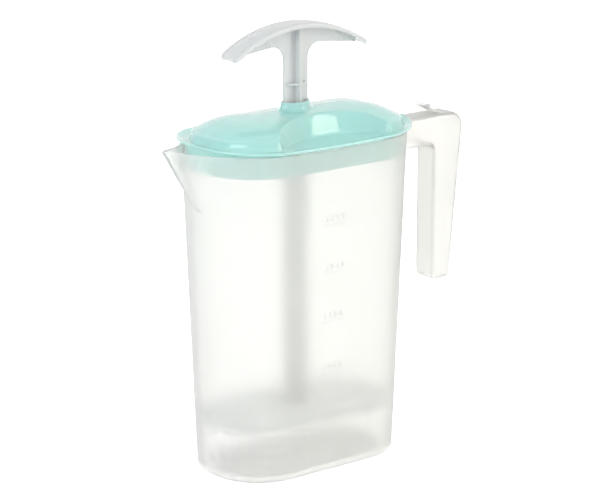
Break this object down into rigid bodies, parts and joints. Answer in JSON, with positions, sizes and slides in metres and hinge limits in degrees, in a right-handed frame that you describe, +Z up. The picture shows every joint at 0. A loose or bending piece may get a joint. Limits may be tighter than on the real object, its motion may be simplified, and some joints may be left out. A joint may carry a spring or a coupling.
{
  "type": "oval mixing pitcher",
  "caption": "Oval pitcher with a beak spout and open hook handle, a domed plug lid and a T-handled plunger that drives a perforated mixing disc.",
  "frame": {"origin": "middle of the flat underside of the pitcher, on the plunger's axis", "axes": "+Z up along the plunger, +X toward the handle, -X toward the spout, -Y toward the graduated side"},
  "size_m": [0.2599, 0.1052, 0.318],
  "materials": {
    "natural_plastic": "uncoloured translucent polypropylene, fine satin",
    "mint_plastic": "mint tinted translucent polypropylene, polished",
    "white_plastic": "whitish translucent polypropylene, satin"
  },
  "bodies": {
    "pitcher": {"pitcher_body": "natural_plastic"},
    "lid": {"lid": "mint_plastic"},
    "plunger": {"plunger_handle": "white_plastic", "mixing_disc": "white_plastic"}
  },
  "joints": [
    {"name": "lid_lift", "type": "slide", "parent": "pitcher", "child": "lid", "axis": [0, 0, 1], "range_m": [0, 0.26]},
    {"name": "plunger_slide", "type": "slide", "parent": "lid", "child": "plunger", "axis": [0, 0, 1], "range_m": [-0.028, 0.19]}
  ]
}
